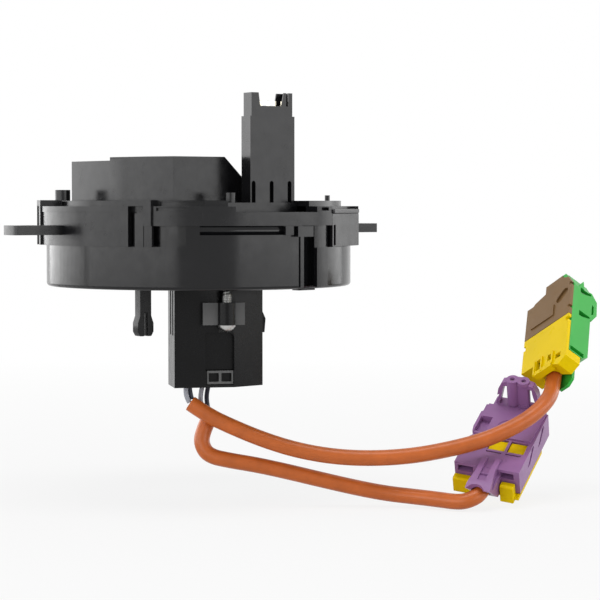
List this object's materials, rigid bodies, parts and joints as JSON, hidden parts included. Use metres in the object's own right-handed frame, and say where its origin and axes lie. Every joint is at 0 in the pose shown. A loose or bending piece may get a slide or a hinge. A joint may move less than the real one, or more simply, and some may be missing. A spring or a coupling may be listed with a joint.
{
  "type": "steering clock spring",
  "caption": "Rotary steering connector: a drum with mounting lugs, a turning hub with a wound flat cable inside, a connector tower and airbag leads with locking plugs.",
  "frame": {"origin": "on the steering axis, in the plane of the mounting lugs' upper face", "axes": "+Z along the steering axis towards the column, +X through a mounting lug"},
  "size_m": [0.2137, 0.1472, 0.1483],
  "materials": {
    "case_plastic": "semi-gloss moulded",
    "cover_plastic": "semi-gloss moulded",
    "block_plastic": "satin moulded",
    "contact_metal": "tin plated",
    "screw_metal": "plated",
    "spring_steel": "plain",
    "magnet": "plain",
    "board": "laminate",
    "ribbon": "laminated strip",
    "slip_film": "smooth film",
    "orange_sleeve": "satin",
    "wire_dark": "satin",
    "wire_grey": "satin",
    "green_plastic": "semi-gloss moulded",
    "brown_plastic": "matte moulded",
    "yellow_plastic": "semi-gloss moulded",
    "violet_plastic": "semi-gloss moulded"
  },
  "bodies": {
    "stator": {"case": "case_plastic", "cover": "cover_plastic", "sensor_housing": "cover_plastic", "sensor_board": "board", "connector_tower": "cover_plastic", "tower_pins": "contact_metal", "side_box": "case_plastic", "side_box_lid": "cover_plastic", "outer_terminal": "block_plastic"},
    "rotor": {"rotor_hub": "block_plastic", "retaining_ring": "spring_steel", "magnet_ring": "magnet", "flat_cable": "ribbon", "slip_sheet": "slip_film", "inner_terminal": "block_plastic", "wheel_block": "block_plastic", "block_keeper": "block_plastic", "block_insert": "block_plastic", "lock_screw": "screw_metal", "lead_a_sleeve": "orange_sleeve", "lead_b_sleeve": "orange_sleeve", "wire_loop": "wire_grey", "wire_blue": "wire_dark", "wire_grey": "wire_grey", "wire_black": "wire_dark", "a_housing": "green_plastic", "a_cover": "brown_plastic", "a_contacts": "contact_metal", "b_housing": "violet_plastic", "b_contacts": "contact_metal"},
    "lock_a": {"a_lock": "yellow_plastic"},
    "lock_b": {"b_lock": "yellow_plastic"}
  },
  "joints": [
    {"name": "rotor_turn", "type": "hinge", "parent": "stator", "child": "rotor", "pos_m": [0, 0, 0], "axis": [0, 0, 1], "range_deg": [-900, 900], "deforming": ["flat_cable"]},
    {"name": "lock_a_slide", "type": "slide", "parent": "rotor", "child": "lock_a", "axis": [-0.5097, -0.5387, -0.6708], "range_m": [0, 0.0025]},
    {"name": "lock_b_slide", "type": "slide", "parent": "rotor", "child": "lock_b", "axis": [-0.729, -0.433, -0.5302], "range_m": [0, 0.0025]}
  ]
}
